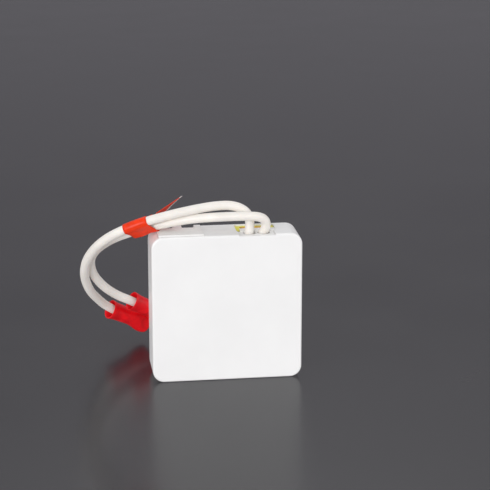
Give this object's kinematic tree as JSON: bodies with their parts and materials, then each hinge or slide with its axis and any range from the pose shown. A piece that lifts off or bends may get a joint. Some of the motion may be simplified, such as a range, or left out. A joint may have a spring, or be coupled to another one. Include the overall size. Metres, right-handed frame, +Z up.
{
  "type": "smart switch module",
  "caption": "Slim square relay module with screw terminals in its top edge and flying leads that end in insulated push-on connectors.",
  "frame": {"origin": "under the middle of the casing, on the surface that it stands on", "axes": "+Z up, -Y out of the blank front face, +X to the right seen from that face"},
  "size_m": [0.0756, 0.0502, 0.063],
  "materials": {
    "casing": "moulded, smooth, slightly glossy white",
    "terminal_plastic": "moulded white polyamide",
    "guide_plastic": "moulded white",
    "board": "green solder mask",
    "solder": "bright tin solder",
    "copper": "bare or enamelled copper",
    "steel": "zinc plated steel",
    "brass": "tinned brass",
    "lead_insulation": "warm white soft insulation",
    "sleeve_red": "translucent red moulded sleeve",
    "label_red": "printed red marker film, left bare",
    "film_yellow": "moulded yellow case",
    "resin_orange": "cast orange resin",
    "relay_case": "moulded dark blue",
    "bobbin_plastic": "moulded black",
    "ferrite": "sintered dark grey ferrite",
    "can_sleeve": "shrunk black sleeve over an aluminium can",
    "varistor_coat": "dipped blue coating",
    "resistor_coat": "baked green coating",
    "chip_black": "moulded black epoxy",
    "ceramic": "tan ceramic chips",
    "radio_board": "dark solder mask",
    "shield": "tinned steel can",
    "clear": "clear acrylic",
    "led": "moulded milky epoxy",
    "button": "moulded white"
  },
  "bodies": {
    "casing": {"antenna": "copper", "bridge_rectifier": "chip_black", "chip_components": "ceramic", "circuit_board": "board", "connector_sleeve_1": "sleeve_red", "connector_sleeve_2": "sleeve_red", "crimped_conductor_1": "copper", "crimped_conductor_2": "copper", "driver_chip": "chip_black", "film_capacitor_case": "film_yellow", "film_capacitor_leads": "solder", "film_capacitor_resin": "resin_orange", "front_cover": "casing", "fuse_resistor": "resistor_coat", "inductor_core": "ferrite", "inductor_winding": "copper", "lead_conductors": "copper", "lead_guide": "guide_plastic", "lead_inner_ends": "lead_insulation", "lead_lower": "lead_insulation", "lead_upper": "lead_insulation", "light_pipe": "clear", "marker_label": "label_red", "output_capacitor": "can_sleeve", "radio_board": "radio_board", "radio_chip": "chip_black", "radio_shield": "shield", "rear_housing": "casing", "receptacle_1": "brass", "receptacle_2": "brass", "relay_base": "bobbin_plastic", "relay_bobbin": "bobbin_plastic", "relay_cover": "relay_case", "relay_fixed_contact": "copper", "relay_pins": "solder", "relay_winding": "copper", "relay_yoke": "steel", "smoothing_capacitor": "can_sleeve", "solder_joints": "solder", "status_led": "led", "tact_switch": "bobbin_plastic", "terminal_bars": "brass", "terminal_block": "terminal_plastic", "transformer_bobbin": "bobbin_plastic", "transformer_core": "ferrite", "transformer_pins": "solder", "transformer_winding": "copper", "varistor": "varistor_coat", "voltage_regulator": "chip_black"},
    "pairing_button": {"pairing_button": "button", "switch_plunger": "button"},
    "relay_armature": {"relay_armature": "steel", "relay_contact_spring": "copper"},
    "terminal_screw_1": {"terminal_screw_1": "steel"},
    "terminal_screw_2": {"terminal_screw_2": "steel"},
    "clamp_cage_1": {"clamp_cage_1": "steel"},
    "clamp_cage_2": {"clamp_cage_2": "steel"}
  },
  "joints": [
    {"name": "pairing_button_press", "type": "slide", "parent": "casing", "child": "pairing_button", "axis": [0, -1, 0], "range_m": [0, 0.0004], "stiffness_N_per_m": 4000},
    {"name": "relay_armature_tilt", "type": "hinge", "parent": "casing", "child": "relay_armature", "pos_m": [-0.0141, 0.0024, 0.0237], "axis": [0, -1, 0], "range_deg": [0, 5], "stiffness_Nm_per_rad": 0.02},
    {"name": "terminal_screw_1_turn", "type": "hinge", "parent": "casing", "child": "terminal_screw_1", "pos_m": [-0.0198, 0.00535, 0.043], "axis": [0, -1, 0], "range_deg": [0, 1080]},
    {"name": "clamp_cage_1_lift", "type": "slide", "parent": "casing", "child": "clamp_cage_1", "axis": [0, 1, 0], "range_m": [0, 0.0015]},
    {"name": "terminal_screw_2_turn", "type": "hinge", "parent": "casing", "child": "terminal_screw_2", "pos_m": [-0.0123, 0.00535, 0.043], "axis": [0, -1, 0], "range_deg": [0, 1080]},
    {"name": "clamp_cage_2_lift", "type": "slide", "parent": "casing", "child": "clamp_cage_2", "axis": [0, 1, 0], "range_m": [0, 0.0015]}
  ],
  "couplings": [
    {"joint": "terminal_screw_1_turn", "follows": "clamp_cage_1_lift", "rad_per_m": 12566},
    {"joint": "terminal_screw_2_turn", "follows": "clamp_cage_2_lift", "rad_per_m": 12566}
  ]
}
